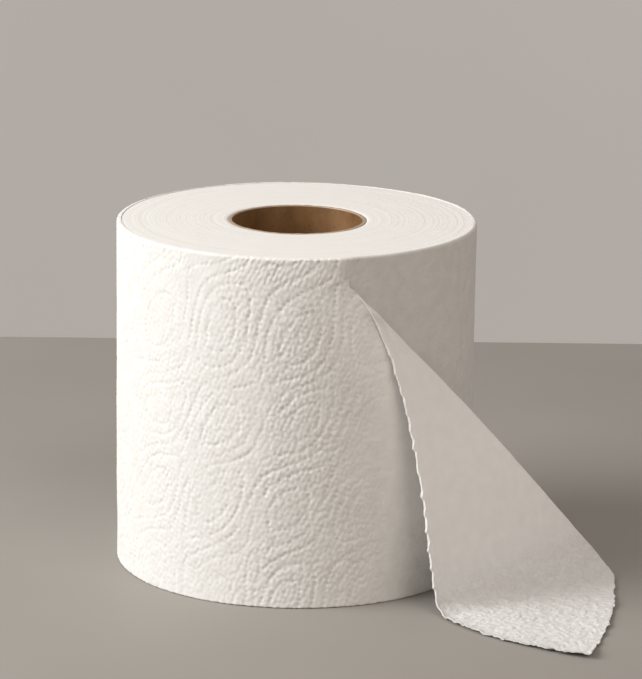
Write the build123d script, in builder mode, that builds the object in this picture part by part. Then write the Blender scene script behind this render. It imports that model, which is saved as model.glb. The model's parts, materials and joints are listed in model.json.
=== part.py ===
from build123d import *
import os
from math import atan2, cos, hypot, radians, sin, tan

# Toilet paper roll, standing on one end, with its torn last sheet hanging to the floor.
# Millimetres and degrees. The roll's axis is +Z and its lower end lies on Z = 0.
# Azimuths are measured about the axis from -Y towards +X.

# ---- Driving dimensions ----

# Wound roll
web_width = 100.0  # width of the paper web, the roll's height as it stands
roll_diameter = 103.0
sheet_thickness = 0.4  # one turn, with all its plies
rim_radius = 0.8  # crushed corners of the outer turns

# Card core
core_diameter = 39.6
core_wall = 1.2
core_chamfer = 0.15
wrap_clearance = 0.05  # between the card and the first turn

# Tear across the last turn, from the neck down to the lower rim
neck_azimuth = 15.0  # where the hanging sheet leaves the roll
neck_drop = 7.6  # from the upper rim down to the neck
tear_foot_azimuth = 55.0  # where the tear meets the lower rim
turn_fade = 0.1  # the turn below rises this far past the roll's side, so its step runs out

# Hanging sheet: it falls steeply, bends and lies flat on the floor
fall_azimuth = 38.0  # the way it falls
foot_clearance = 14.5  # from the roll's side to where the fall would meet the floor
bend_radius = 9.0  # underside of the bend

# Flat cut of the hanging sheet, a triangle. Its square corner joins the machine-cut edge,
# which runs up to the neck, and the perforated edge, which runs to the tip.
cut_edge_length = 113.5  # from the square corner up to the fork, where the tear starts
cut_edge_tilt = 49.5  # machine-cut edge against the line of the bend
perforated_edge_length = 74.0
neck_length = 11.5  # from the fork up to the roll
neck_tilt = 47.0
neck_width = 3.0
tear_waist = 4.0  # the tear runs this far inside its straight line on the fall
tear_heel = 5.5  # and this far outside it beyond the bend

# ---- Derived sizes ----

roll_radius = roll_diameter / 2
core_radius = core_diameter / 2
bore_radius = core_radius - core_wall
wrap_radius = core_radius + wrap_clearance

neck_height = web_width - neck_drop
neck_turn = radians(neck_azimuth - fall_azimuth)
neck_across = roll_radius * sin(neck_turn)  # along the bend, from the axis
neck_out = roll_radius * cos(neck_turn)  # the way the sheet falls, from the axis
foot_out = roll_radius + foot_clearance
fall_angle = atan2(neck_height, foot_out - neck_out)
bend_tangent = bend_radius * tan(fall_angle / 2)
bend_start = hypot(neck_height, foot_out - neck_out) - bend_tangent
bend_end = bend_start + bend_radius * fall_angle
bend_end_out = foot_out + bend_tangent


def direction(azimuth):
    """Horizontal direction at an azimuth."""
    return Vector(sin(radians(azimuth)), -cos(radians(azimuth)), 0)


def on_side(azimuth, height):
    """Point on the roll's side."""
    return direction(azimuth) * roll_radius + Vector(0, 0, height)


def step(point, length, tilt):
    """Point of the flat cut at a distance from another, at a tilt to the line of the bend."""
    return (point[0] + length * cos(radians(tilt)), point[1] + length * sin(radians(tilt)))


def between(start, end, share, aside):
    """Point of the flat cut part of the way along a line, and aside from it."""
    run = (end[0] - start[0], end[1] - start[1])
    length = hypot(*run)
    return (
        start[0] + share * run[0] + aside * run[1] / length,
        start[1] + share * run[1] - aside * run[0] / length,
    )


def laid(point):
    """Where a point of the flat cut comes to lie, seen from above.

    The flat cut is measured across, along the line of the bend, and down from the neck.
    Seen from above, the first measure is outwards from the axis and the second across.
    """
    across, down = point
    if down < bend_start:
        return (neck_out + down * cos(fall_angle), across)
    if down < bend_end:
        left_to_turn = (bend_end - down) / bend_radius
        return (bend_end_out - bend_radius * sin(left_to_turn), across)
    return (bend_end_out + down - bend_end, across)


def with_bend_crossings(corners):
    """Corners of a flat outline, with the points where its edges enter or leave the bend."""
    outline = []
    for start, end in zip(corners, corners[1:] + corners[:1]):
        outline.append(start)
        crossed = [line for line in (bend_start, bend_end) if start[1] < line < end[1]]
        crossed += [line for line in (bend_end, bend_start) if start[1] > line > end[1]]
        for line in crossed:
            share = (line - start[1]) / (end[1] - start[1])
            outline.append((start[0] + share * (end[0] - start[0]), line))
    return outline


# ---- Corners of the flat cut ----

neck = (neck_across, 0)
fork = step(neck, neck_length, neck_tilt)
corner = step(fork, cut_edge_length, cut_edge_tilt)
tip = step(corner, perforated_edge_length, cut_edge_tilt + 90)
neck_left = between(neck, fork, 0, -neck_width / 4)
neck_right = between(neck, fork, 0, neck_width / 2)
fork_left = between(neck, fork, 1, -neck_width / 4)
waist = between(fork, tip, 0.4, tear_waist)
heel = between(fork, tip, 0.72, -tear_heel)

# ---- Card core: one tube, wound and glued from strips of card ----

with BuildPart() as core_tube:
    with BuildSketch():
        Circle(core_radius)
        Circle(bore_radius, mode=Mode.SUBTRACT)
    extrude(amount=web_width)
    chamfer(core_tube.edges().filter_by(GeomType.CIRCLE), core_chamfer)

# ---- What the tear took off the last turn: a skin that thins out round the roll ----

with BuildPart() as torn_away:
    tear_azimuth = (neck_azimuth + tear_foot_azimuth) / 2
    turn_below_radius = roll_radius + (turn_fade - sheet_thickness) / 2
    turn_below_shift = (turn_fade + sheet_thickness) / 2
    with BuildSketch(Plane.XY.offset(-rim_radius)):
        Circle(roll_radius + rim_radius)
        with Locations(direction(tear_azimuth) * -turn_below_shift):
            Circle(turn_below_radius, mode=Mode.SUBTRACT)
    extrude(amount=web_width + 2 * rim_radius)
    tear_top = on_side(neck_azimuth, neck_height)
    tear_run = on_side(tear_foot_azimuth, 0) - tear_top
    tear_plane = Plane(
        origin=tear_top, x_dir=tear_run, z_dir=direction(tear_azimuth).cross(tear_run)
    )
    split(bisect_by=tear_plane, keep=Keep.TOP)

# ---- Hanging sheet, before it joins its roll ----

with BuildPart() as hanging_sheet:
    fall_section = Plane(
        origin=(0, 0, 0), x_dir=direction(fall_azimuth), z_dir=-direction(fall_azimuth + 90)
    )
    reach = laid(tip)[0] + bend_radius
    with BuildSketch(fall_section):
        with BuildLine():
            underside = FilletPolyline(
                (neck_out, neck_height), (foot_out, 0), (reach, 0), radius=bend_radius
            )
            upper_side = FilletPolyline(
                (
                    neck_out + sheet_thickness * sin(fall_angle),
                    neck_height + sheet_thickness * cos(fall_angle),
                ),
                (foot_out + sheet_thickness * tan(fall_angle / 2), sheet_thickness),
                (reach, sheet_thickness),
                radius=bend_radius - sheet_thickness,
            )
            Line(underside @ 0, upper_side @ 0)
            Line(underside @ 1, upper_side @ 1)
        make_face()
    extrude(amount=roll_diameter, both=True)
    seen_from_above = Plane(origin=(0, 0, 0), x_dir=direction(fall_azimuth), z_dir=(0, 0, 1))
    cut_corners = [neck_left, fork_left, waist, heel, tip, corner, neck_right]
    with BuildSketch(seen_from_above):
        with BuildLine():
            Polyline(*[laid(point) for point in with_bend_crossings(cut_corners)], close=True)
        make_face()
    extrude(amount=web_width, mode=Mode.INTERSECT)

# ---- Wound paper: every turn of the web and the sheet that hangs from it are one piece ----

with BuildPart() as tissue_roll:
    with BuildSketch():
        Circle(roll_radius)
        Circle(wrap_radius, mode=Mode.SUBTRACT)
    extrude(amount=web_width)
    rims = tissue_roll.edges().filter_by(GeomType.CIRCLE).sort_by(SortBy.RADIUS)[-2:]
    fillet(rims, rim_radius)
    add(torn_away.part, mode=Mode.SUBTRACT)
    add(hanging_sheet.part)

# ---- Finished pieces ----

os.makedirs("parts", exist_ok=True)
core_tube.part.label = "core_tube"
export_step(core_tube.part, "parts/core_tube.step")
tissue_roll.part.label = "tissue_roll"
export_step(tissue_roll.part, "parts/tissue_roll.step")
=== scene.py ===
"""Looks of the toilet paper roll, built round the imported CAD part.

Lengths are worked out in millimetres, in the CAD's own frame, and turned into metres when a
mesh is made. The roll's axis is +Z and azimuths run from -Y towards +X, as in the CAD.
"""

import json
import math

import bpy
import numpy as np
from mathutils import Matrix, Vector
from mathutils.geometry import delaunay_2d_cdt


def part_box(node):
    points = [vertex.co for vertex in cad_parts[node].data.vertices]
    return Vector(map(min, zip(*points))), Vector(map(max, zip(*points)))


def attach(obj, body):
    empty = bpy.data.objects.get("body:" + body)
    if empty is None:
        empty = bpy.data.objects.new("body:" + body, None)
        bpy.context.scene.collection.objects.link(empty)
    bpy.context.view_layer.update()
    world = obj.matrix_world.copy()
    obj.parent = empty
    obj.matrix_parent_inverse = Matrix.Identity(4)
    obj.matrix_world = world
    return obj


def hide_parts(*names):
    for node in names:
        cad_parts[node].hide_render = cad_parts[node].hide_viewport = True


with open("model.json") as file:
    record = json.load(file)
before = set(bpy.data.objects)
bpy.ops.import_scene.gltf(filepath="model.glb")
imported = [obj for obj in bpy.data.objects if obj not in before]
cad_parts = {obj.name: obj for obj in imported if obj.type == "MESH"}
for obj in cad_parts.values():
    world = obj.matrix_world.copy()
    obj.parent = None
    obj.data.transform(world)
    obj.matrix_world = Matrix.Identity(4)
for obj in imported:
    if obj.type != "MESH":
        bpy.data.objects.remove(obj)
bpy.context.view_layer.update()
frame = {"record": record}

MM = 0.001
DEG = math.pi / 180

# ---- Sizes from the frame ----

paper_low, paper_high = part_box("tissue_roll")
card_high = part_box("core_tube")[1]
mounts = {mount["name"]: mount for mount in frame["record"]["mounts"]}

ROLL_RADIUS = -paper_low.x / MM
WEB_WIDTH = paper_high.z / MM
CARD_RADIUS = card_high.x / MM
BORE_RADIUS = mounts["core_bore"]["dims"]["r_mm"]

# ---- Wound paper ----

RIM_RADIUS = 0.8  # crushed corners of the outer turns
LOWER_RIM_RADIUS = 0.45
TURN_STEP = 0.4  # one turn, with all its plies
SKIN_DEPTH = 1.2  # the outer turns are modelled this deep, as one skin for each sheet
SKIN_PITCH = 0.38  # between the skins' mesh points
SKIN_GAP = 0.12  # from the skins to the wound body
SEAM = 0.02  # half the gap between neighbouring skins
LOFT = 0.25  # the embossed outer turn stands this proud of the wound size
WRAP_GAP = 0.05  # paper to card
SHEET_LENGTH = 125.0  # between perforations
TEAR_FOOT_AZIMUTH = 55.0  # the tear meets the lower rim at a perforation
PERFORATION_AZIMUTHS = [
    TEAR_FOOT_AZIMUTH - k * SHEET_LENGTH / ROLL_RADIUS / DEG for k in (1, 2)
]

# The fold where the sheet leaves the roll: azimuth and height of points along its crest
FOLD_TOP = (7.5, 97.4)
FORK = (23.4, 84.6)
FOLD_MIDDLE = (15.6, 92.1)
FOLD_CREST = [FORK, FOLD_MIDDLE, FOLD_TOP]
FOLD_HEIGHT = 1.3  # it stands this proud of the roll
NOTCH_HEIGHT = 92.2  # where the last turn's own edge meets the fold
EDGE_TOP_AZIMUTH = 19.3  # where that edge meets the upper rim

# ---- Hanging sheet, as cut flat: across the line of its bend, and down from its neck ----

FALL_AZIMUTH = 38.0
NECK_AZIMUTH = 15.0
NECK_DROP = 7.6
FOOT_CLEARANCE = 14.5
BEND_RADIUS = 9.0
SHEET_THICKNESS = 0.28
SHEET_PITCH = 0.47  # between its mesh points
EDGE_PITCH = 0.34  # and along its machine-made edges
TORN_EDGE_THICKNESS = 1.0  # its plies part along the tear

neck_height = WEB_WIDTH - NECK_DROP
neck_turn = (NECK_AZIMUTH - FALL_AZIMUTH) * DEG
neck_out = ROLL_RADIUS * math.cos(neck_turn)
foot_out = ROLL_RADIUS + FOOT_CLEARANCE
fall_angle = math.atan2(neck_height, foot_out - neck_out)
bend_tangent = BEND_RADIUS * math.tan(fall_angle / 2)
bend_start = math.hypot(neck_height, foot_out - neck_out) - bend_tangent
bend_end = bend_start + BEND_RADIUS * fall_angle
bend_end_out = foot_out + bend_tangent

FLAT_START = (-16.3, 3.6)  # on the fold
FLAT_FORK = (-15.1, 5.0)  # where the cut edge and the tear part
CUT_EDGE_TILT = 48.15  # the machine-cut edge, from the line of the bend
CUT_EDGE_LENGTH = 120.3  # from the fork to the corner, as if that were sharp
CUT_EDGE_BOW, CUT_BOW_AT = 1.6, 0.45
PERFORATED_EDGE_LENGTH = 78.3  # square to the cut edge, from the corner to the tip
PERFORATED_EDGE_BOW, PERFORATED_BOW_AT = 2.1, 0.42
CORNER_RADIUS = 10.0  # the corner between them has curled round

TEAR_ACROSS = -1.3  # the taut stretch of the tear
TEAR_FLARE = 14.2  # it starts this far aside, at the fork, and
TEAR_FLARE_LENGTH = 22.5  # comes in over about this length
TEAR_STEP = 2.6  # it steps aside in the bend
TIP_RUN_START = 110.0  # from here down it runs over to the tip

cut_run = np.array([math.cos(CUT_EDGE_TILT * DEG), math.sin(CUT_EDGE_TILT * DEG)])
perforated_run = np.array([-cut_run[1], cut_run[0]])
flat_corner = np.array(FLAT_FORK) + CUT_EDGE_LENGTH * cut_run
flat_tip = flat_corner + PERFORATED_EDGE_LENGTH * perforated_run

OUTWARD = np.array([math.sin(FALL_AZIMUTH * DEG), -math.cos(FALL_AZIMUTH * DEG), 0.0])
ALONG_BEND = np.array([math.cos(FALL_AZIMUTH * DEG), math.sin(FALL_AZIMUTH * DEG), 0.0])
UP = np.array([0.0, 0.0, 1.0])


# ======== Small tools ========


def cell_random(ix, iy, seed):
    """A repeatable number from 0 to 1 for each cell of a grid."""
    by_column = ix.astype(np.int64) * 374761393
    by_row = iy.astype(np.int64) * 668265263
    n = (by_column + by_row + seed * 69069) & 0x7FFFFFFF
    n = ((n ^ (n >> 13)) * 1274126177) & 0x7FFFFFFF
    n = n ^ (n >> 15)
    return (n & 0xFFFF) / 65535.0


def noise(x, y, seed):
    """Smooth noise from -1 to 1, with features about one unit across."""
    x, y = np.broadcast_arrays(np.asarray(x, float), np.asarray(y, float))
    ix, iy = np.floor(x), np.floor(y)
    fx, fy = x - ix, y - iy
    fx, fy = fx * fx * (3 - 2 * fx), fy * fy * (3 - 2 * fy)
    low = cell_random(ix, iy, seed) * (1 - fx) + cell_random(ix + 1, iy, seed) * fx
    high = cell_random(ix, iy + 1, seed) * (1 - fx) + cell_random(ix + 1, iy + 1, seed) * fx
    return 2 * (low * (1 - fy) + high * fy) - 1


def pebbles(x, y, size, seed):
    """Low domes packed side by side: 1 on top, 0 in the gaps."""
    x, y = x / size, y / size
    ix, iy = np.floor(x), np.floor(y)
    near = np.full(x.shape, 9.0)
    for dx in (-1, 0, 1):
        for dy in (-1, 0, 1):
            cx, cy = ix + dx, iy + dy
            px = cx + 0.22 + 0.56 * cell_random(cx, cy, seed)
            py = cy + 0.22 + 0.56 * cell_random(cx, cy, seed + 1)
            near = np.minimum(near, (x - px) ** 2 + (y - py) ** 2)
    return 1 - np.minimum(near / 0.4, 1)


def ease(x, low, high):
    """0 below low, 1 above high, smooth between."""
    t = np.clip((np.asarray(x, float) - low) / (high - low), 0, 1)
    return t * t * (3 - 2 * t)


def curve_through(points, at):
    """Smooth curve through (value, place) points, read at other places."""
    values = np.array([p[0] for p in points], float)
    places = np.array([p[1] for p in points], float)
    slopes = np.gradient(values, places)
    k = np.clip(np.searchsorted(places, at) - 1, 0, len(places) - 2)
    run = places[k + 1] - places[k]
    t = (at - places[k]) / run
    h0, h1 = 2 * t**3 - 3 * t**2 + 1, t**3 - 2 * t**2 + t
    return (
        h0 * values[k] + h1 * run * slopes[k]
        + (1 - h0) * values[k + 1] + (t**3 - t**2) * run * slopes[k + 1]
    )


def piece_from(name, points, faces, groups, material):
    """A closed mesh piece riding on the part's one body. Edges between groups are sharp."""
    mesh = bpy.data.meshes.new(name)
    mesh.from_pydata((np.asarray(points) * MM).tolist(), [], faces)
    mesh.polygons.foreach_set("use_smooth", [True] * len(faces))
    edge_of_loop = np.zeros(len(mesh.loops), np.int32)
    mesh.loops.foreach_get("edge_index", edge_of_loop)
    group_of_loop = np.repeat(np.asarray(groups), [len(f) for f in faces])
    low = np.full(len(mesh.edges), 99)
    high = np.full(len(mesh.edges), -1)
    np.minimum.at(low, edge_of_loop, group_of_loop)
    np.maximum.at(high, edge_of_loop, group_of_loop)
    sharp = mesh.attributes.new("sharp_edge", "BOOLEAN", "EDGE")
    sharp.data.foreach_set("value", low != high)
    mesh.materials.append(material)
    piece = bpy.data.objects.new(name, mesh)
    bpy.context.scene.collection.objects.link(piece)
    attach(piece, "root")
    return piece


def grid_faces(index, flip=False):
    """Quads over a grid of vertex numbers."""
    a, b, c, d = index[:-1, :-1], index[1:, :-1], index[1:, 1:], index[:-1, 1:]
    order = (d, c, b, a) if flip else (a, b, c, d)
    return np.stack([k.ravel() for k in order], 1).tolist()


def zip_faces(first, second, points, flip=False):
    """Triangles between two rows of vertex numbers that run the same way."""
    faces, i, j = [], 0, 0
    p, q = points[first], points[second]
    while i < len(first) - 1 or j < len(second) - 1:
        step_first = j == len(second) - 1 or (
            i < len(first) - 1
            and np.sum((p[i + 1] - q[j]) ** 2) <= np.sum((p[i] - q[j + 1]) ** 2)
        )
        if step_first:
            face = [first[i], first[i + 1], second[j]]
            i += 1
        else:
            face = [first[i], second[j + 1], second[j]]
            j += 1
        faces.append([int(v) for v in (face[::-1] if flip else face)])
    return faces


def on_cylinder(arc, radius, height):
    """Points at an arc length round the roll's side, a radius and a height."""
    turn = arc / ROLL_RADIUS
    return np.stack([radius * np.sin(turn), -radius * np.cos(turn), height + 0 * arc], -1)


def arc_at(azimuth):
    """The arc length round the roll's side at an azimuth."""
    return ROLL_RADIUS * DEG * np.asarray(azimuth, float)


# ======== Embossing of the web ========

LOOP_WIDTH, LOOP_HEIGHT = 44.0, 54.0  # the pattern repeats after two loops
CHANNEL_LEVELS = (-0.74, -0.3, 0.1, 0.46, 0.8)
DASH_PITCH = 1.5
DASH_LENGTH, DASH_WIDTH, DASH_DEPTH = 1.0, 0.75, 0.5
MAP_CELL = 0.2


def swirl(arc, height):
    """Height field whose level lines are the embossed channels: loops with streams between."""
    u = 2 * np.pi * arc / LOOP_WIDTH
    v = 2 * np.pi * height / LOOP_HEIGHT
    sway = 0.5 * np.sin(v * 0.5 + 0.7) + 0.35 * noise(arc / 17, height / 17, 15)
    stir = 0.4 * noise(arc / 15, height / 15, 16)
    return 0.66 * np.cos(u - v + sway) + 0.34 * np.cos(u + v + stir)


def dashes_along(level, arcs, heights):
    """Middle and direction of each dash along one level line of the swirl."""
    grid = 0.6
    xs = np.arange(arcs[0], arcs[1], grid)
    ys = np.arange(heights[0], heights[1], grid)
    field = swirl(xs[None, :], ys[:, None]) - level
    rows, columns = field.shape
    links = {}

    def crossing(kind, j, i):
        """Where the level line crosses one side of a cell."""
        a = field[j, i]
        b = field[j, i + 1] if kind == 0 else field[j + 1, i]
        t = a / (a - b)
        return (xs[i] + (t * grid if kind == 0 else 0), ys[j] + (t * grid if kind == 1 else 0))

    def is_cut(kind, j, i):
        """Whether the level line crosses that side of a cell."""
        return inside[j, i] != (inside[j, i + 1] if kind == 0 else inside[j + 1, i])

    inside = field > 0
    mixed = inside[:-1, :-1].astype(int) + inside[1:, :-1] + inside[:-1, 1:] + inside[1:, 1:]
    for j, i in zip(*np.nonzero((mixed > 0) & (mixed < 4))):
        sides = [(0, j, i), (1, j, i + 1), (0, j + 1, i), (1, j, i)]
        cut = [side for side in sides if is_cut(*side)]
        for a, b in zip(cut[0::2], cut[1::2]):
            links.setdefault(a, []).append(b)
            links.setdefault(b, []).append(a)
    middles, runs = [], []
    left = set(links)
    ends = [s for s in links if len(links[s]) == 1]
    for start in ends + sorted(links):
        if start not in left:
            continue
        line = [start]
        left.discard(start)
        while True:
            ahead = [s for s in links[line[-1]] if s in left]
            if not ahead:
                break
            line.append(ahead[0])
            left.discard(ahead[0])
        if len(line) < 4:
            continue
        path = np.array([crossing(*s) for s in line])
        if line[0] in links[line[-1]]:
            path = np.vstack([path, path[:1]])
        along = np.concatenate([[0], np.cumsum(np.hypot(*np.diff(path, axis=0).T))])
        count = max(1, int(along[-1] / DASH_PITCH))
        at = (np.arange(count) + 0.5) * along[-1] / count
        spots = np.stack([np.interp(at, along, path[:, k]) for k in (0, 1)], 1)
        ahead = np.stack([np.interp(at + 0.4, along, path[:, k]) for k in (0, 1)], 1)
        behind = np.stack([np.interp(at - 0.4, along, path[:, k]) for k in (0, 1)], 1)
        run = ahead - behind
        middles.append(spots)
        runs.append(run / np.maximum(np.hypot(run[:, 0], run[:, 1]), 1e-6)[:, None])
    return np.vstack(middles), np.vstack(runs)


def relief_map(arcs, heights):
    """Embossing over the unrolled web, in millimetres below the flat web."""
    xs = np.arange(arcs[0], arcs[1] + MAP_CELL, MAP_CELL)
    ys = np.arange(heights[0], heights[1] + MAP_CELL, MAP_CELL)
    x, y = np.meshgrid(xs, ys)
    field = swirl(x, y)
    loops = ease(np.abs(field), 0.4, 0.6)  # inside a loop, not in a stream
    wander = noise(x / 8, y / 8, 11)
    smooth = ease(noise(x / 13, y / 11, 12), -0.1, 0.5) * (1 - loops)
    jitter = 0.3 * noise(x / 1.7, y / 1.7, 3), 0.3 * noise(x / 1.7, y / 1.7, 4)
    slanted, upright = 0.9 * x - 0.42 * y, 0.42 * x + 0.9 * y
    grit = pebbles(slanted + jitter[0], 0.85 * upright + jitter[1], 1.3, 5)
    fine = pebbles(x - jitter[1], 0.9 * y + jitter[0], 0.85, 8)
    domes = (1 - 0.55 * smooth) * (1 + 0.3 * wander) * (0.27 * grit + 0.07 * fine)
    pads = 0.05 * smooth * np.cos(np.pi * field / 0.32) ** 2
    relief = domes + pads - 0.3
    dents = np.zeros_like(relief)
    reach = int(1.0 / MAP_CELL)
    for number, level in enumerate(CHANNEL_LEVELS):
        middles, runs = dashes_along(level, arcs, heights)
        count = np.arange(len(middles))
        shake = cell_random(count, np.full(len(middles), number), 21)
        patchy = noise(middles[:, 0] / 12, middles[:, 1] / 12, 22)
        faint = 1 - ease(noise(middles[:, 0] / 7, middles[:, 1] / 7, 23), 0.05, 0.45)
        depth = DASH_DEPTH * (0.4 + 0.75 * shake) * (1 + 0.35 * patchy) * (0.6 + 0.4 * faint)
        for k in (0, 1):
            shove = cell_random(count, np.full(len(middles), number), 24 + k)
            middles[:, k] += 0.5 * (shove - 0.5)
        ci = np.round((middles[:, 0] - arcs[0]) / MAP_CELL).astype(int)
        cj = np.round((middles[:, 1] - heights[0]) / MAP_CELL).astype(int)
        for dj in range(-reach, reach + 1):
            for di in range(-reach, reach + 1):
                i, j = ci + di, cj + dj
                ok = (i >= 0) & (i < len(xs)) & (j >= 0) & (j < len(ys))
                dx = xs[0] + i[ok] * MAP_CELL - middles[ok, 0]
                dy = ys[0] + j[ok] * MAP_CELL - middles[ok, 1]
                lengthwise = dx * runs[ok, 0] + dy * runs[ok, 1]
                sideways = dx * runs[ok, 1] - dy * runs[ok, 0]
                far = (2 * lengthwise / DASH_LENGTH) ** 2 + (2 * sideways / DASH_WIDTH) ** 2
                np.maximum.at(dents, (j[ok], i[ok]), depth[ok] * np.exp(-0.9 * far))
    return relief - dents


MAP_ARCS = (float(arc_at(-352)), float(arc_at(62)))
MAP_HEIGHTS = (-1.0, WEB_WIDTH + 1.0)
embossing = relief_map(MAP_ARCS, MAP_HEIGHTS)


def embossed(arc, height):
    """The relief read off the map."""
    x = np.clip((arc - MAP_ARCS[0]) / MAP_CELL, 0, embossing.shape[1] - 1.001)
    y = np.clip((height - MAP_HEIGHTS[0]) / MAP_CELL, 0, embossing.shape[0] - 1.001)
    i, j = x.astype(int), y.astype(int)
    fx, fy = x - i, y - j
    low = embossing[j, i] * (1 - fx) + embossing[j, i + 1] * fx
    high = embossing[j + 1, i] * (1 - fx) + embossing[j + 1, i + 1] * fx
    return low * (1 - fy) + high * fy


def relief_strength(arc, height):
    """The embossing is pulled flat near the tear, and on the turn that the tear lays bare."""
    azimuth = arc / ROLL_RADIUS / DEG
    slant = azimuth + 12 * (height / WEB_WIDTH - 0.3)
    near_tear = 1 - 0.72 * ease(slant, 14, 36)
    laid_bare = 1 - 0.62 * ease(-azimuth, 225, 280)
    return (0.62 + 0.3 * ease(azimuth, -30, 10)) * near_tear * laid_bare


# ======== Outer turn ========


def web_radius(arc):
    """The outer turn's spiral."""
    azimuth = arc / ROLL_RADIUS / DEG
    return ROLL_RADIUS - TURN_STEP * (TEAR_FOOT_AZIMUTH - azimuth) / 360


def crest_arc(height):
    """Where the fold's crest is, at each height."""
    inner = np.clip(height, FORK[1], FOLD_TOP[1])
    azimuth = curve_through(FOLD_CREST, inner) - 1.25 * (height - inner)
    return arc_at(azimuth)


def fold_rise(arc, height):
    """How far the paper stands up along the fold where the sheet leaves the roll."""
    aside = 0.72 * (arc - crest_arc(height))  # positive towards the upper right
    share = (FOLD_TOP[1] - height) / (FOLD_TOP[1] - FORK[1])
    rise = FOLD_HEIGHT * ease(share, -0.15, 0.8)
    rise = rise * np.exp(-((np.maximum(share - 1, 0) * 3.2) ** 2))
    left = 0.62 * np.exp(-((aside / 1.2) ** 2)) + 0.38 * np.exp(-((aside / 4.5) ** 2))
    return rise * np.where(aside < 0, left, np.exp(-((aside / 0.8) ** 2)))


def gentle_swell(web, height):
    """The wound web is never quite round: long soft swells."""
    return 0.12 * noise(web / 31, height / 37, 41) + 0.05 * noise(web / 9, height / 12, 42)


def tear_lift(arc, height):
    """The torn edge stands a little off the turn below it."""
    below = ease(FORK[1] - height, -2, 6)
    from_tear = np.maximum(tear_arc(height) - arc, 0)
    return below * (0.2 + 0.16 * noise(height / 5, 0, 33)) * np.exp(-from_tear / 0.9)


def tear_arc(height):
    """Where the outer turn ends, at each height: its edge, the fold, and the tear below."""
    height = np.asarray(height, float)
    notch_azimuth = FOLD_MIDDLE[0] + 0.3
    share = (height - NOTCH_HEIGHT) / (WEB_WIDTH - NOTCH_HEIGHT)
    edge = notch_azimuth + share * (EDGE_TOP_AZIMUTH - notch_azimuth)
    down = np.clip((FORK[1] - height) / FORK[1], 0, 1)
    tear = FORK[0] + 0.4 + (TEAR_FOOT_AZIMUTH - FORK[0]) * down**0.75
    ragged = 0.3 * noise(height / 2.1, 0, 31) + 0.15 * noise(height / 0.7, 0, 32)
    crest = crest_arc(height) + 0.3
    arc = np.where(height > FORK[1], crest, arc_at(tear))
    arc = np.where(height > NOTCH_HEIGHT, arc_at(edge), arc)
    return arc + ragged * np.where(height > FORK[1], 0.35, 1.0)


def side_rows():
    """Height, rim turn and rim radius of each row up the roll's side, crushed rims included."""
    rim = np.linspace(-90, 0, 7)[:-1] * DEG
    rise = WEB_WIDTH - RIM_RADIUS - LOWER_RIM_RADIUS
    straight = LOWER_RIM_RADIUS + np.linspace(0, rise, int(rise / SKIN_PITCH) + 1)
    heights = np.concatenate([
        LOWER_RIM_RADIUS * (1 + np.sin(rim)),
        straight,
        (WEB_WIDTH - RIM_RADIUS + RIM_RADIUS * np.sin(-rim))[::-1],
    ])
    turns = np.concatenate([rim, np.zeros(len(straight)), (-rim)[::-1]])
    rims = np.where(heights < WEB_WIDTH / 2, LOWER_RIM_RADIUS, RIM_RADIUS)
    return heights, turns, rims


def bare_start(height):
    """Where the turn below the tear comes into view."""
    closed = ease(height, NOTCH_HEIGHT, NOTCH_HEIGHT + 2) * ease(WEB_WIDTH - height, 0.9, 1.8)
    return tear_arc(height) + 0.09 - 0.05 * closed


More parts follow.
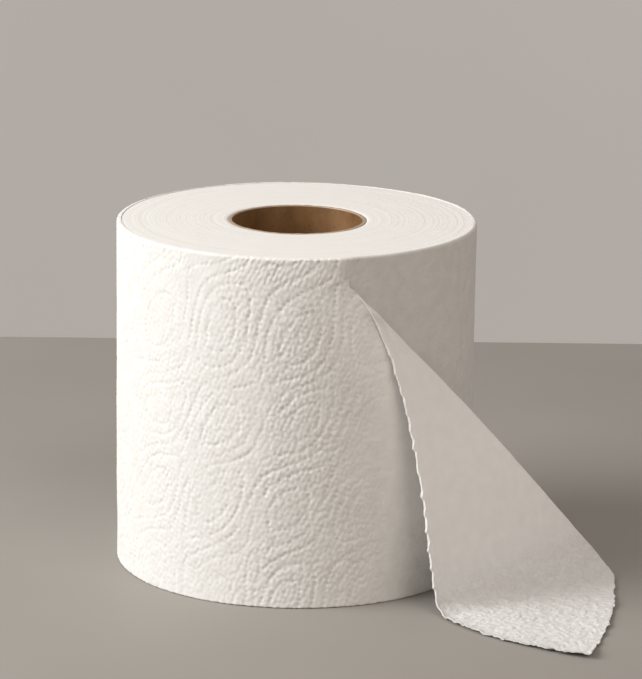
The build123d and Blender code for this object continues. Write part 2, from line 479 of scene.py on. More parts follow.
def outer_skin(name, start_arc, end_arc, web_shift, material, tear_end=False):
    """One sheet of the outer turn, as a skin with its embossing.

    start_arc and end_arc give where it starts and ends at each height; web_shift takes an arc
    on the roll to the same place along the web.
    """
    heights, turns, rims = side_rows()
    starts, ends = start_arc(heights), end_arc(heights)
    columns = int(np.max(ends - starts) / SKIN_PITCH) + 1
    share = np.linspace(0, 1, columns)[:, None]
    arc = starts + share * (ends - starts)
    height = np.broadcast_to(heights, arc.shape)
    turn = np.broadcast_to(turns, arc.shape)
    web = arc + web_shift
    from_end = np.minimum(height, WEB_WIDTH - height)
    strength = relief_strength(web, height) * (0.75 + 0.25 * ease(from_end, 0, 3))
    relief = strength * embossed(web, height)
    inset = ease(from_end, 0, 1.5)
    swell = gentle_swell(web, height)
    for azimuth in PERFORATION_AZIMUTHS:
        slit = ((np.mod(height, 2.6) < 1.9) * 0.24 + 0.05) * inset
        relief = relief - slit * np.exp(-(((web - arc_at(azimuth)) / 0.28) ** 2))
    rise, press, painted_shade_share, painted_light_share = (np.zeros_like(arc) for _ in range(4))
    if start_arc is bare_start:
        # Painted shade: darker from the tear round past the roll's right side, fading out towards
        # the back.
        painted_shade_share = 1 - ease(arc / ROLL_RADIUS / DEG, 88, 134)
    if tear_end:
        rise = fold_rise(arc, height) + tear_lift(arc, height)
        from_tear = tear_arc(height) - arc
        pressed = ease(height, NOTCH_HEIGHT - 1, NOTCH_HEIGHT + 2)
        pressed = pressed * np.exp(-((from_tear / 2.2) ** 2))
        press = 0.9 * TURN_STEP * pressed
        relief = relief * (1 - 0.8 * pressed)
        # Painted shade along the pressed edge above the notch, to match the turn below.
        painted_shade_share = ease(height, NOTCH_HEIGHT - 3, NOTCH_HEIGHT + 1)
        painted_shade_share = painted_shade_share * np.exp(-((from_tear / 4.5) ** 2))
        # Painted light: lighter in a band beside the tear, fading out towards the lower rim and
        # the notch.
        painted_light_share = ease(-from_tear, -19, -4) * ease(height, 4, 30)
        painted_light_share = painted_light_share * ease(NOTCH_HEIGHT - height, 0, 12)
    proud = relief + swell + rise
    proud = np.where(turn == 0, proud, np.maximum(proud, -0.6 * rims))
    radius = web_radius(web) + LOFT - press - rims + (rims + proud) * np.cos(turn)
    level = height + proud * np.sin(turn) * 0.8
    level = np.maximum(level, 0.02)
    outer = on_cylinder(arc, radius, 0)
    outer[..., 2] = level
    inner_share = np.linspace(0, 1, 25)[:, None]
    inner_arc = starts + inner_share * (ends - starts)
    inner_radius = np.full(inner_arc.shape, ROLL_RADIUS - SKIN_DEPTH)
    inner = on_cylinder(inner_arc, inner_radius, 0)
    inner[..., 2] = 0.04 + heights * (WEB_WIDTH - 0.08) / WEB_WIDTH
    points = np.vstack([outer.reshape(-1, 3), inner.reshape(-1, 3)])
    out = np.arange(outer[..., 0].size).reshape(arc.shape)
    inn = out.size + np.arange(inner[..., 0].size).reshape(inner_arc.shape)
    faces = grid_faces(out)
    groups = [0] * len(faces)
    for group, part in (
        (1, grid_faces(inn, flip=True)),
        (2, zip_faces(out[:, 0], inn[:, 0], points, flip=True)),
        (2, zip_faces(out[:, -1], inn[:, -1], points)),
        (3, grid_faces(np.stack([inn[0, :], out[0, :]]))),
        (4, grid_faces(np.stack([out[-1, :], inn[-1, :]]))),
    ):
        faces += part
        groups += [group] * len(part)
    piece = piece_from(name, points, faces, groups, material)
    for label, share in (("painted_shade_share", painted_shade_share), ("painted_light_share", painted_light_share)):
        shade = piece.data.attributes.new(label, "FLOAT", "POINT")
        shade.data.foreach_set("value", np.concatenate([share.ravel(), np.zeros(inner_arc.size)]))
    return piece


# ======== Wound body, with its cut ends ========


def wound_body(material):
    """The turns inside: two cut ends with their turn lines, the bore and a plain hidden side."""
    around = 400
    turn = np.linspace(0, 2 * np.pi, around, endpoint=False)
    low_radius = CARD_RADIUS + WRAP_GAP
    high_radius = ROLL_RADIUS - SKIN_DEPTH - SKIN_GAP

    def cut_end(radii, seed):
        r, a = np.meshgrid(radii, turn, indexing="ij")
        warp = 0.5 * np.sin(a + seed) + 0.25 * np.sin(2 * a + 2.1 * seed) + 0.12 * np.sin(5 * a)
        lines = 0.02 * noise(r / 0.55 + warp, 0 * r, seed)
        lines = lines + 0.025 * noise(r / 1.3 + warp, 0 * r, seed + 1)
        waves = 0.05 * noise(r / 7 + 0.4 * warp, 0 * r, seed + 2)
        patch = 0.03 * noise(r * np.cos(a) / 5, r * np.sin(a) / 5, seed + 3)
        edge = 0.3 * np.exp(-(r - low_radius) / 0.35)
        return 0.16 - lines - waves - patch + edge

    top_radii = np.linspace(low_radius, high_radius, 108)
    bottom_radii = np.linspace(high_radius, low_radius, 52)
    top = WEB_WIDTH - np.maximum(cut_end(top_radii, 51), 0.02)
    bottom = np.maximum(cut_end(bottom_radii, 61), 0.02)
    side_levels = np.linspace(WEB_WIDTH - 1.2, 1.2, 5)
    bore_levels = np.linspace(1.0, WEB_WIDTH - 1.0, 9)
    rows = [(r, z) for r, z in zip(top_radii, top)]
    rows += [(high_radius, np.full(around, z)) for z in side_levels]
    rows += [(r, z) for r, z in zip(bottom_radii, bottom)]
    rows += [(low_radius, np.full(around, z)) for z in bore_levels]
    points = np.array([
        np.stack([r * np.sin(turn), -r * np.cos(turn), z], 1) for r, z in rows
    ])
    count = len(rows)
    index = np.arange(count * around).reshape(count, around)
    index = np.vstack([index, index[:1]])
    index = np.hstack([index, index[:, :1]])
    faces = grid_faces(index)
    of_row = [0] * (len(top_radii) - 1) + [1] * (len(side_levels) + 1)
    of_row += [2] * (len(bottom_radii) - 1) + [3] * (len(bore_levels) + 1)
    groups = np.repeat(of_row, around)
    return piece_from("wound_turns", points.reshape(-1, 3), faces, groups, material)


# ======== Card core ========


def card_core(material):
    """A spiral-wound tube: a lapped seam climbs its bore, and its top cut end is a little rough.
    """
    around = 256
    lead = 96.0  # height gained in one turn of the seam
    lap = 0.11
    base = np.linspace(0, 2 * np.pi, around, endpoint=False)
    low, high = 0.15, WEB_WIDTH - 0.25
    rows = []
    for z in np.linspace(low + 0.25, high - 0.25, 70):
        rise = lap * (1 - np.arange(around) / around)
        ripple = 0.03 * noise(np.arange(around) / 9, np.full(around, z / 7), 71)
        rows.append((BORE_RADIUS + 0.02 + rise * 0.8 + ripple, z, 0))
    inner_edge, outer_edge = BORE_RADIUS + 0.22, CARD_RADIUS - 0.2
    for share in (0.0, 0.35, 0.7, 1.0):
        rows.append((inner_edge + share * (outer_edge - inner_edge), high, 1))
    for z in np.linspace(high - 0.2, low + 0.2, 71):
        rows.append((CARD_RADIUS - 0.01, z, 2))
    for share in (1.0, 0.7, 0.35, 0.0):
        rows.append((inner_edge + share * (outer_edge - inner_edge), low, 3))
    points = []
    for radius, z, kind in rows:
        turn = base + 2 * np.pi * z / lead
        level = np.full(around, z)
        if kind == 1:
            level = z + 0.07 * noise(np.arange(around) / 2.3, np.full(around, 1.7), 72)
        points.append(np.stack([radius * np.sin(turn), -radius * np.cos(turn), level], 1))
    count = len(rows)
    index = np.arange(count * around).reshape(count, around)
    index = np.vstack([index, index[:1]])
    index = np.hstack([index, index[:, :1]])
    faces = grid_faces(index)
    kinds = [row[2] for row in rows]
    of_row = [kinds[k] if kinds[k] == kinds[(k + 1) % count] else 4 for k in range(count)]
    groups = np.repeat(of_row, around)
    points = np.array(points).reshape(-1, 3)
    return piece_from("card_core", points, faces, groups, material)


# ======== Hanging sheet ========


def bowed(start, run, length, bow, bow_at):
    """Points about 4 mm apart along an edge that bows to its right, its end left out."""
    share = np.arange(0, 1, 4 / length)[:, None]
    aside = curve_through([(0, 0), (bow, bow_at), (0, 1)], share)
    return start + share * length * run + aside * np.array([run[1], -run[0]])


def machine_edges():
    """The cut edge, the curled corner and the perforated edge, evenly spaced, without the tip.

    Also gives the whole length, and how far along it the corner's middle is.
    """
    radius = CORNER_RADIUS
    turn = np.arange(0, 90, 22.5)[:, None] * DEG
    centre = flat_corner - radius * cut_run + radius * perforated_run
    corner = centre + radius * (np.sin(turn) * cut_run - np.cos(turn) * perforated_run)
    coarse = np.vstack([
        bowed(FLAT_FORK, cut_run, CUT_EDGE_LENGTH - radius, CUT_EDGE_BOW, CUT_BOW_AT),
        corner,
        bowed(
            centre + radius * cut_run, perforated_run, PERFORATED_EDGE_LENGTH - radius,
            PERFORATED_EDGE_BOW, PERFORATED_BOW_AT,
        ),
        flat_tip,
    ])
    along = np.concatenate([[0], np.cumsum(np.hypot(*np.diff(coarse, axis=0).T))])
    at = np.linspace(0, along[-1], int(along[-1] / EDGE_PITCH), endpoint=False)
    places = [curve_through(list(zip(coarse[:, k], along)), at) for k in (0, 1)]
    corner_at = CUT_EDGE_LENGTH - radius + radius * math.pi / 4
    return np.stack(places, 1), along[-1], corner_at


def tear_across(down):
    """How far across the tear is, at each distance down the flat cut."""
    flare = TEAR_FLARE * np.exp(-(down - FLAT_FORK[1]) / TEAR_FLARE_LENGTH)
    step = TEAR_STEP * ease(down, bend_start, bend_end + 5)
    tip_share = np.maximum(down - TIP_RUN_START, 0) / (flat_tip[1] - TIP_RUN_START)
    tip_run = flat_tip[0] - TEAR_ACROSS + TEAR_STEP
    return TEAR_ACROSS - flare - step + tip_run * tip_share**1.65


def teeth(along, pitch, seed):
    """The little hooks that a tear leaves: each swells slowly and drops back at once."""
    place = along / pitch + 0.35 * noise(along / (2.2 * pitch), 0, seed)
    number = np.floor(place)
    t = place - number
    size = 0.35 + 0.65 * cell_random(number, number * 0, seed + 1)
    return size * np.where(t < 0.82, (t / 0.82) ** 2.2, (1 - t) / 0.18)


def flat_outline():
    """The flat cut's edge, anticlockwise with down taken upwards: tear, end edge, cut edge."""
    down = np.arange(FLAT_FORK[1], flat_tip[1] - 0.5, 0.3)
    across = tear_across(down)
    rough = ease(down, 14, 30) * ease(flat_tip[1] - down, 1, 5)
    across = across - rough * (0.75 * teeth(down, 5.6, 81) - 0.3 + 0.25 * noise(down / 7, 0, 84))
    across = across - 0.12 * noise(down / 0.8, 0, 83) * rough
    most = FLAT_FORK[0] + (down - FLAT_FORK[1]) * 0.8 - 0.3
    across = np.where(down < 20, np.minimum(across, most), across)
    tear = np.stack([across, down], 1)
    edge, whole, corner_at = machine_edges()
    run = np.gradient(edge, axis=0)
    outwards = np.stack([run[:, 1], -run[:, 0]], 1) / np.hypot(*run.T)[:, None]
    place = np.arange(len(edge)) * whole / len(edge)
    steps = 0.45 * teeth(whole - place, 7.7, 86) + 0.3 * noise(place / 2.3, 0, 87)
    steps = steps + 0.18 * noise(place / 0.9, 0, 88)
    steps = steps * ease(place, corner_at + 5, corner_at + 21) * ease(whole - place, 0.5, 5)
    straight = 0.05 * noise(place / 6, 0, 89)
    loop = edge + (steps + straight)[:, None] * outwards
    on_tear_side = np.array([FLAT_START[0] - 0.25, FLAT_START[1] + 0.1])
    on_cut_side = np.array([FLAT_START[0] + 0.1, FLAT_START[1]])
    head = np.linspace(on_cut_side, loop[0], 14, endpoint=False)
    neck_side = np.linspace(tear[0], on_tear_side, 14)[1:]
    return np.vstack([head, loop, tear[::-1], neck_side])


def distances(points, line):
    """How far each point is from the nearest point of a line, worked in blocks."""
    found = np.empty(len(points))
    for k in range(0, len(points), 4000):
        block = points[k : k + 4000, None, :] - line[None, :, :]
        found[k : k + 4000] = np.sqrt(np.min(np.sum(block**2, 2), 1))
    return found


def inside(points, outline):
    """Which points lie inside a closed outline."""
    x, y = points[:, 0], points[:, 1]
    found = np.zeros(len(points), bool)
    for (ax, ay), (bx, by) in zip(outline, np.roll(outline, -1, 0)):
        if ay != by:
            found ^= ((ay > y) != (by > y)) & (x < ax + (bx - ax) * (y - ay) / (by - ay))
    return found


def laid_out(flat):
    """Where the flat cut's points come to lie, and the sheet's outward normal there."""
    across, down = flat[:, 0], flat[:, 1]
    turn = np.clip((bend_end - down) / BEND_RADIUS, 0, fall_angle)
    out = np.where(
        down < bend_start,
        neck_out + down * math.cos(fall_angle),
        bend_end_out - BEND_RADIUS * np.sin(turn),
    )
    out = np.where(down > bend_end, bend_end_out + down - bend_end, out)
    height = np.where(
        down < bend_start,
        neck_height - down * math.sin(fall_angle),
        BEND_RADIUS * (1 - np.cos(turn)),
    )
    place = across[:, None] * ALONG_BEND + out[:, None] * OUTWARD + height[:, None] * UP
    normal = np.sin(turn)[:, None] * OUTWARD + np.cos(turn)[:, None] * UP
    return place, normal


def curls(x, y):
    """Fine curly ridges of creped paper that has lost its tension."""
    wx = x + 1.3 * noise(x / 3.1, y / 3.1, 91) + 0.5 * noise(x / 1.3, y / 1.3, 92)
    wy = y + 1.3 * noise(x / 3.1, y / 3.1, 93) + 0.5 * noise(x / 1.3, y / 1.3, 94)
    ridge = 1 - np.abs(noise(wx / 1.6, wy / 1.25, 95))
    small = 1 - np.abs(noise(wx / 0.95, wy / 0.8, 96))
    return 0.62 * ridge**3 + 0.38 * small**2


def hanging_sheet(material):
    """The last sheet, torn off along a slant: it hangs from the fold, bends and lies down."""
    outline = flat_outline()
    pitch = SHEET_PITCH
    xs = np.arange(outline[:, 0].min(), outline[:, 0].max(), pitch)
    ys = np.arange(outline[:, 1].min(), outline[:, 1].max(), pitch * 0.866)
    gx, gy = np.meshgrid(xs, ys)
    gx = gx + (np.arange(len(ys)) % 2)[:, None] * pitch / 2
    inner = np.stack([gx.ravel(), gy.ravel()], 1)
    inner = inner[inside(inner, outline)]
    inner = inner[distances(inner, outline) > 0.55 * pitch]
    flat_points = np.vstack([outline, inner])
    edges = [(k, (k + 1) % len(outline)) for k in range(len(outline))]
    made = delaunay_2d_cdt([Vector(p) for p in flat_points], edges, [], 1, 1e-5, False)
    flat = np.array([tuple(v) for v in made[0]])
    tris = np.array(made[2])
    tris = tris[inside(flat[tris].mean(1), outline)]
    used = np.unique(tris)
    renumber = np.full(len(flat), -1)
    renumber[used] = np.arange(len(used))
    flat, tris = flat[used], renumber[tris]
    a, b, c = (flat[tris[:, k]] for k in range(3))
    signed = (b[:, 0] - a[:, 0]) * (c[:, 1] - a[:, 1]) - (b[:, 1] - a[:, 1]) * (c[:, 0] - a[:, 0])
    tris[signed > 0] = tris[signed > 0][:, ::-1]
    area = float(np.abs(signed).sum() / 2)

    across, down = flat[:, 0], flat[:, 1]
    aside = np.abs(outline[:, 0] - tear_across(outline[:, 1]))
    tear_points = outline[aside < 2.2]
    tear_points = tear_points[tear_points[:, 1] < flat_tip[1] - 1]
    from_tear = distances(flat, tear_points)
    from_edge = distances(flat, outline)
    place, normal = laid_out(flat)

    on_floor = ease(down, bend_start - 6, bend_end + 3)
    streaks = 0.14 * noise(across / 2.6, down / 26, 101)
    streaks = streaks + 0.05 * noise(across / 1.2, down / 12, 102)
    soft = 0.35 * noise(across / 19, down / 34, 103)
    wave = (1 - on_floor) * (streaks + soft * ease(down, 20, 50))
    crumpled = ease(down, bend_start - 5 - 17 * ease(across, 12, 58), bend_end + 2)
    crinkle = crumpled * 0.6 * curls(across, down)
    crinkle = crinkle + 0.05 * (1 - on_floor) * curls(across, down * 0.35)
    lobes = 0.5 + 0.5 * noise(across / 9 + 3, down / 9, 104)
    lift = on_floor * (0.55 * lobes * np.exp(-from_edge / 5) + 0.25 * lobes)
    tip = np.exp(-((np.hypot(across - flat_tip[0], down - flat_tip[1]) / 9) ** 2))
    lift = lift + 0.5 * tip
    curl = (0.16 + 0.26 * ease(down, 25, 60)) * np.exp(-from_tear / 0.8)
    curl = curl * (0.7 + 0.5 * noise(down / 2.7, 0, 105))
    edge_curl = 0.2 * np.exp(-from_edge / 0.6)
    freed = ease(down, 4.5, 14)
    high = wave + crinkle + lift + (1 - 0.7 * on_floor) * freed * (curl + edge_curl)

    parted = np.exp(-from_tear / 0.55) * (0.75 + 0.35 * noise(down / 1.9, 0, 106)) * freed
    thickness = SHEET_THICKNESS + (TORN_EDGE_THICKNESS - SHEET_THICKNESS) * parted
    thickness = np.where(on_floor > 0, thickness * (1 - 0.35 * on_floor), thickness)
    back = place + normal * high[:, None]
    # Hold the back of the sheet clear of the roll.
    radius = np.hypot(back[:, 0], back[:, 1])
    arc = np.arctan2(back[:, 0], -back[:, 1]) * ROLL_RADIUS
    tear_side = ease(tear_arc(back[:, 2]) + 1.8 - arc, 0, 1.5)
    stand = gentle_swell(arc, back[:, 2]) + fold_rise(arc, back[:, 2]) + tear_lift(arc, back[:, 2])
    least = ROLL_RADIUS + 0.22 + (stand + 0.2) * tear_side
    push = np.maximum(least - radius, 0) * (back[:, 2] > 1)
    back[:, :2] += back[:, :2] / radius[:, None] * push[:, None]
    back[:, 2] = np.maximum(back[:, 2], 0.03)
    front = back + normal * thickness[:, None]
    points = np.vstack([front, back])
    count = len(flat)
    faces = tris.tolist() + (tris[:, ::-1] + count).tolist()
    groups = [0] * len(tris) + [1] * len(tris)
    sides = dict.fromkeys((t[k], t[(k + 1) % 3]) for t in tris.tolist() for k in range(3))
    border = [side for side in sides if (side[1], side[0]) not in sides]
    faces += [[b, a, a + count, b + count] for a, b in border]
    groups += [2] * len(border)
    piece = piece_from("hanging_sheet", points, faces, groups, material)
    flat_size = [float(np.ptp(outline @ run)) for run in (perforated_run, cut_run)]
    return piece, flat_size, area


# ======== Materials ========


def new_material(name):
    material = bpy.data.materials.new(name)
    material.use_nodes = True
    tree = material.node_tree
    tree.nodes.clear()
    output = tree.nodes.new("ShaderNodeOutputMaterial")
    shader = tree.nodes.new("ShaderNodeBsdfPrincipled")
    tree.links.new(shader.outputs["BSDF"], output.inputs["Surface"])
    return material, tree, shader


def add(tree, kind, **settings):
    node = tree.nodes.new(kind)
    for key, value in settings.items():
        setattr(node, key, value)
    return node


def object_noise(tree, scale, detail=3.0, stretch=(1, 1, 1)):
    """Noise fixed to the object, in features per metre."""
    place = add(tree, "ShaderNodeTexCoord")
    mapping = add(tree, "ShaderNodeMapping")
    mapping.inputs["Scale"].default_value = stretch
    texture = add(tree, "ShaderNodeTexNoise")
    texture.inputs["Scale"].default_value = scale
    texture.inputs["Detail"].default_value = detail
    tree.links.new(place.outputs["Object"], mapping.inputs["Vector"])
    tree.links.new(mapping.outputs["Vector"], texture.inputs["Vector"])
    return texture


def shades(tree, source, dark, light, low=0.3, high=0.7):
    """A colour between two, chosen by a value from low to high."""
    ramp = add(tree, "ShaderNodeValToRGB")
    ramp.color_ramp.elements[0].position = low
    ramp.color_ramp.elements[0].color = (*dark, 1)
    ramp.color_ramp.elements[1].position = high
    ramp.color_ramp.elements[1].color = (*light, 1)
    tree.links.new(source, ramp.inputs["Fac"])
    return ramp


def bump(tree, source, distance, strength, below=None):
    """Fine relief from a value, on top of another bump where one is given."""
    node = add(tree, "ShaderNodeBump")
    node.inputs["Strength"].default_value = strength
    node.inputs["Distance"].default_value = distance
    tree.links.new(source, node.inputs["Height"])
    if below is not None:
        tree.links.new(below.outputs["Normal"], node.inputs["Normal"])
    return node


def tissue_material(name, dark, light, fibre_stretch=(1, 1, 0.45), blends=()):
    """Soft bleached tissue: cloudy formation, short matted fibres, no gloss."""
    material, tree, shader = new_material(name)
    clouds = object_noise(tree, 260, 3)
    colour = shades(tree, clouds.outputs["Fac"], dark, light)
    result = colour.outputs["Color"]
    # Each blend mixes in another colour where a point attribute says: painted shade and painted
    # light on the outer turns.
    for label, other_dark, other_light in blends:
        share = add(tree, "ShaderNodeAttribute", attribute_name=label)
        other = shades(tree, clouds.outputs["Fac"], other_dark, other_light)
        mix = add(tree, "ShaderNodeMix", data_type="RGBA")
        tree.links.new(share.outputs["Fac"], mix.inputs["Factor"])
        tree.links.new(result, mix.inputs["A"])
        tree.links.new(other.outputs["Color"], mix.inputs["B"])
        result = mix.outputs["Result"]
    tree.links.new(result, shader.inputs["Base Color"])
    fibres = object_noise(tree, 2600, 4, fibre_stretch)
    mat = object_noise(tree, 900, 2)
    lower = bump(tree, mat.outputs["Fac"], 0.0001, 0.5)
    upper = bump(tree, fibres.outputs["Fac"], 0.00005, 0.55, lower)
    tree.links.new(upper.outputs["Normal"], shader.inputs["Normal"])
    shader.inputs["Roughness"].default_value = 0.96
    shader.inputs["Specular IOR Level"].default_value = 0.18
    shader.inputs["Sheen Weight"].default_value = 0.12
    shader.inputs["Sheen Roughness"].default_value = 0.6
    return material


def by_height(tree, low, high, at_low, at_high):
    """A value that runs from one level to another up the object."""
    place = add(tree, "ShaderNodeTexCoord")
    split = add(tree, "ShaderNodeSeparateXYZ")
    tree.links.new(place.outputs["Object"], split.inputs["Vector"])
    level = add(tree, "ShaderNodeMapRange")
    names = ("From Min", "From Max", "To Min", "To Max")
    for name, value in zip(names, (low, high, at_low, at_high)):
        level.inputs[name].default_value = value
    tree.links.new(split.outputs["Z"], level.inputs["Value"])
    return level


def paint_shade_near_table(material, share, height):
    """Painted shade: paper near the table coloured darker than the taut paper above; also fine
    creases.
    """
    tree = material.node_tree
    shader = tree.nodes["Principled BSDF"]
    colour = shader.inputs["Base Color"].links[0].from_socket
    # Painted shade: colour scaled from share at the table up to full at the given height.
    level = by_height(tree, 0.0, height, share, 1.0)
    scale = add(tree, "ShaderNodeVectorMath", operation="SCALE")
    tree.links.new(colour, scale.inputs["Vector"])
    tree.links.new(level.outputs["Result"], scale.inputs["Scale"])
    tree.links.new(scale.outputs["Vector"], shader.inputs["Base Color"])
    curly = object_noise(tree, 620, 2)
    curly.inputs["Distortion"].default_value = 1.6
    crease = add(tree, "ShaderNodeMath", operation="PINGPONG")
    crease.inputs[1].default_value = 0.08
    tree.links.new(curly.outputs["Fac"], crease.inputs[0])
    creased = bump(tree, crease.outputs["Value"], 0.0022, 0.5)
    near_table = by_height(tree, 0.004, height / 2, 0.6, 0.0)
    tree.links.new(near_table.outputs["Result"], creased.inputs["Strength"])
    tree.links.new(shader.inputs["Normal"].links[0].from_socket, creased.inputs["Normal"])
    tree.links.new(creased.outputs["Normal"], shader.inputs["Normal"])


def cut_end_material():
    """The cut edges of the turns: fine concentric lines broken up by stray fibres."""
    material, tree, shader = new_material("tissue_cut_end")
    place = add(tree, "ShaderNodeTexCoord")
    split = add(tree, "ShaderNodeSeparateXYZ")
    tree.links.new(place.outputs["Object"], split.inputs["Vector"])
    flat = add(tree, "ShaderNodeCombineXYZ")
    tree.links.new(split.outputs["X"], flat.inputs["X"])
    tree.links.new(split.outputs["Y"], flat.inputs["Y"])
    length = add(tree, "ShaderNodeVectorMath", operation="LENGTH")
    tree.links.new(flat.outputs["Vector"], length.inputs[0])
    wobble = object_noise(tree, 60, 2)
    shift = add(tree, "ShaderNodeMath", operation="MULTIPLY_ADD")
    shift.inputs[1].default_value = 0.0006
    tree.links.new(wobble.outputs["Fac"], shift.inputs[0])
    tree.links.new(length.outputs["Value"], shift.inputs[2])
    turns = add(tree, "ShaderNodeMath", operation="MULTIPLY")
    turns.inputs[1].default_value = 2 * math.pi / (TURN_STEP * MM)
    tree.links.new(shift.outputs["Value"], turns.inputs[0])
    lines = add(tree, "ShaderNodeMath", operation="SINE")
    tree.links.new(turns.outputs["Value"], lines.inputs[0])
    coarse = add(tree, "ShaderNodeTexNoise", noise_dimensions="1D")
    coarse.inputs["Scale"].default_value = 900
    coarse.inputs["Detail"].default_value = 2
    tree.links.new(shift.outputs["Value"], coarse.inputs["W"])
    colour = shades(tree, coarse.outputs["Fac"], (0.83, 0.815, 0.79), (0.87, 0.86, 0.84))
    tree.links.new(colour.outputs["Color"], shader.inputs["Base Color"])
    fibres = object_noise(tree, 1900, 4)
    first = bump(tree, lines.outputs["Value"], 0.00003, 0.5)
    second = bump(tree, coarse.outputs["Fac"], 0.0001, 0.4, first)
    third = bump(tree, fibres.outputs["Fac"], 0.00008, 0.6, second)
    tree.links.new(third.outputs["Normal"], shader.inputs["Normal"])
    shader.inputs["Roughness"].default_value = 0.97
    shader.inputs["Specular IOR Level"].default_value = 0.15
    return material


def card_material():
    """Unbleached grey-brown card: long fibres, dark specks and a slight calendered sheen."""
    material, tree, shader = new_material("kraft_card")
    clouds = object_noise(tree, 140, 4, (1, 1, 0.5))
    colour = shades(tree, clouds.outputs["Fac"], (0.145, 0.066, 0.019), (0.27, 0.14, 0.054))
    specks = object_noise(tree, 2200, 2, (1, 1, 0.6))
    speckled = shades(tree, specks.outputs["Fac"], (0.55, 0.5, 0.45), (1, 1, 1), 0.28, 0.42)
    mix = add(tree, "ShaderNodeMix", data_type="RGBA", blend_type="MULTIPLY")
    mix.inputs["Factor"].default_value = 0.7
    tree.links.new(colour.outputs["Color"], mix.inputs["A"])
    tree.links.new(speckled.outputs["Color"], mix.inputs["B"])
    cut = by_height(tree, (WEB_WIDTH - 0.6) * MM, (WEB_WIDTH - 0.4) * MM, 0.0, 0.75)
    ring = add(tree, "ShaderNodeMix", data_type="RGBA")
    ring.inputs["B"].default_value = (0.48, 0.39, 0.30, 1)
    tree.links.new(cut.outputs["Result"], ring.inputs["Factor"])
    tree.links.new(mix.outputs["Result"], ring.inputs["A"])
    tree.links.new(ring.outputs["Result"], shader.inputs["Base Color"])
    fibres = object_noise(tree, 1500, 5, (1, 1, 0.25))
    felt = bump(tree, fibres.outputs["Fac"], 0.00006, 0.6)
    tree.links.new(felt.outputs["Normal"], shader.inputs["Normal"])
    shader.inputs["Roughness"].default_value = 0.5
    shader.inputs["Specular IOR Level"].default_value = 0.55
    return material


def plain_material(name, dark, light, scale, roughness):
    """A matt surface with faint clouds."""
    material, tree, shader = new_material(name)
    cloud = object_noise(tree, scale, 2)
    colour = shades(tree, cloud.outputs["Fac"], dark, light)
    tree.links.new(colour.outputs["Color"], shader.inputs["Base Color"])
    shader.inputs["Roughness"].default_value = roughness
    shader.inputs["Specular IOR Level"].default_value = 0.2
    return material


# ======== Camera ========

camera_data = bpy.data.cameras.new("camera")
camera = bpy.data.objects.new("camera", camera_data)
bpy.context.scene.collection.objects.link(camera)
CAMERA_PLACE = Vector((0.0, -0.9536, 0.3084))
CAMERA_YAW, CAMERA_PITCH, CAMERA_ROLL = 0.435 * DEG, 14.357 * DEG, 0.762 * DEG
CAMERA_LENS = 181.03
look = Vector((
    math.sin(CAMERA_YAW) * math.cos(CAMERA_PITCH),
    math.cos(CAMERA_YAW) * math.cos(CAMERA_PITCH),
    -math.sin(CAMERA_PITCH),
))
side = look.cross(Vector((0, 0, 1))).normalized()
top = side.cross(look)
camera_right = math.cos(CAMERA_ROLL) * side + math.sin(CAMERA_ROLL) * top
camera_up = -math.sin(CAMERA_ROLL) * side + math.cos(CAMERA_ROLL) * top
axes = Matrix((camera_right, camera_up, -look)).transposed()
camera.matrix_world = Matrix.Translation(CAMERA_PLACE) @ axes.to_4x4()
camera_data.sensor_fit = "AUTO"
camera_data.sensor_width = 36.0
camera_data.lens = CAMERA_LENS
camera_data.clip_end = 20
bpy.context.scene.camera = camera

# ======== Pieces ========

# Painted shade: the turn below the tear is coloured darker over the roll's right side, and so is
# the edge pressed flat on it beside the tear.
PAINTED_SHADE_PAPER = ("painted_shade_share", (0.65, 0.63, 0.605), (0.705, 0.69, 0.665))
# Painted light: the outer turn is coloured lighter in a band beside the tear.
PAINTED_LIGHT_PAPER = ("painted_light_share", (0.915, 0.90, 0.88), (0.965, 0.955, 0.94))
tissue = tissue_material(
    "tissue_web", (0.80, 0.785, 0.76), (0.87, 0.86, 0.84), blends=(PAINTED_SHADE_PAPER, PAINTED_LIGHT_PAPER)
)
# Painted light: the hanging sheet is the same tissue as the web, coloured lighter to stand in for
# the light it catches.
sheet_tissue_painted_light_and_shade = tissue_material(
    "tissue_hanging_painted_light_and_shade", (0.925, 0.91, 0.89), (0.965, 0.955, 0.94), fibre_stretch=(1, 1, 0.2)
)
# Painted shade: the sheet's colour drops to 0.84 at the table, rising to full 40 mm up.
paint_shade_near_table(sheet_tissue_painted_light_and_shade, 0.84, 0.04)

turn_length = 2 * math.pi * ROLL_RADIUS
first_line, second_line = (float(arc_at(a)) for a in PERFORATION_AZIMUTHS)


def straight_end(arc):
    """An end that is at the same arc at every height."""
    return lambda height: np.full(height.shape, arc)


torn_sheet = outer_skin(
    "outer_sheet_torn", straight_end(first_line + SEAM), tear_arc, 0.0, tissue, tear_end=True
)
back_sheet = outer_skin(
    "outer_sheet_back", straight_end(second_line + SEAM), straight_end(first_line - SEAM), 0.0,
    tissue,
)
below_sheet = outer_skin(
    "turn_below_tear", bare_start, straight_end(second_line - SEAM + turn_length),
    -turn_length, tissue,
)
body = wound_body(cut_end_material())
core = card_core(card_material())
sheet, sheet_size, sheet_area = hanging_sheet(sheet_tissue_painted_light_and_shade)

for piece in (torn_sheet, back_sheet, below_sheet, body, sheet):
    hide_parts("tissue_roll")
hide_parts("core_tube")

# ======== Stage and light ========


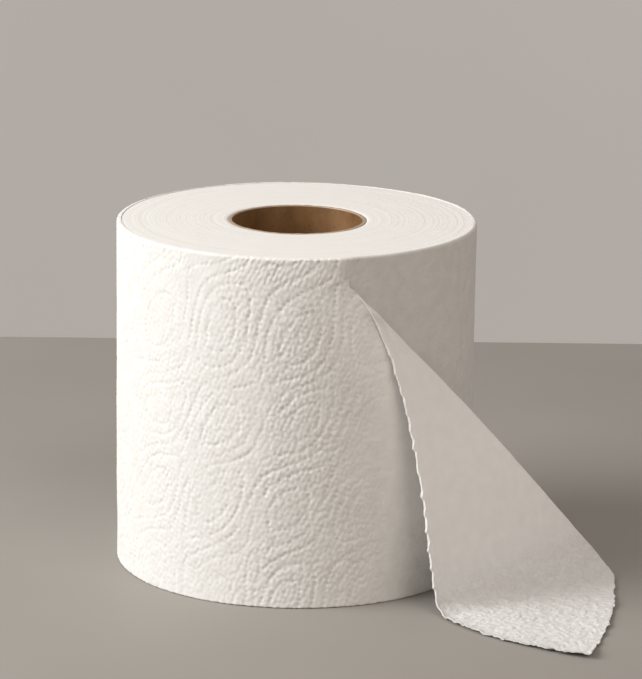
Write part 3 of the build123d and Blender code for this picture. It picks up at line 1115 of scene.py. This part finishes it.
def stage_grid(name, first, last, material):
    """A plain flat surface between two opposite corners, in metres, divided once each way."""
    points = [
        [a + (b - a) * share for a, b, share in zip(first, last, (i / 2, j / 2, j / 2))]
        for j in range(3)
        for i in range(3)
    ]
    faces = grid_faces(np.arange(9).reshape(3, 3), flip=True)
    mesh = bpy.data.meshes.new(name)
    mesh.from_pydata(points, [], faces)
    mesh.materials.append(material)
    surface = bpy.data.objects.new(name, mesh)
    bpy.context.scene.collection.objects.link(surface)


floor_grey = plain_material("floor_grey", (0.315, 0.296, 0.272), (0.345, 0.326, 0.302), 8, 0.6)
wall_grey = plain_material("backdrop_grey", (0.88, 0.87, 0.86), (0.92, 0.91, 0.90), 2, 0.9)
TABLE_SIDE, TABLE_BACK = 2.5, 0.25
WALL_SIDE, WALL_BACK, WALL_TOP = 4.0, 2.6, 3.0
stage_grid("floor", (-TABLE_SIDE, -TABLE_SIDE, 0), (TABLE_SIDE, TABLE_BACK, 0), floor_grey)
stage_grid(
    "backdrop", (-WALL_SIDE, WALL_BACK, -WALL_TOP), (WALL_SIDE, WALL_BACK, WALL_TOP), wall_grey
)


def area_light(name, azimuth, elevation, distance, size, power, colour):
    """A soft round light aimed at the middle of the roll."""
    light = bpy.data.lights.new(name, "AREA")
    light.shape = "DISK"
    light.size = size
    light.energy = power
    light.color = colour
    holder = bpy.data.objects.new(name, light)
    a, e = azimuth * DEG, elevation * DEG
    away = Vector((math.sin(a) * math.cos(e), -math.cos(a) * math.cos(e), math.sin(e)))
    target = Vector((0, 0, WEB_WIDTH * MM / 2))
    holder.location = target + away * distance
    holder.rotation_euler = (-away).to_track_quat("-Z", "Y").to_euler()
    bpy.context.scene.collection.objects.link(holder)


area_light("key", -75, 31, 1.1, 0.75, 12.9, (1.0, 1.0, 0.99))
area_light("fill", 38, 42, 1.8, 1.2, 6.8, (1.0, 0.92, 0.84))

world = bpy.data.worlds.new("studio")
bpy.context.scene.world = world
world.use_nodes = True
background = world.node_tree.nodes["Background"]
background.inputs["Color"].default_value = (1.0, 0.925, 0.85, 1)
background.inputs["Strength"].default_value = 0.40
bpy.context.scene.view_settings.view_transform = "Standard"
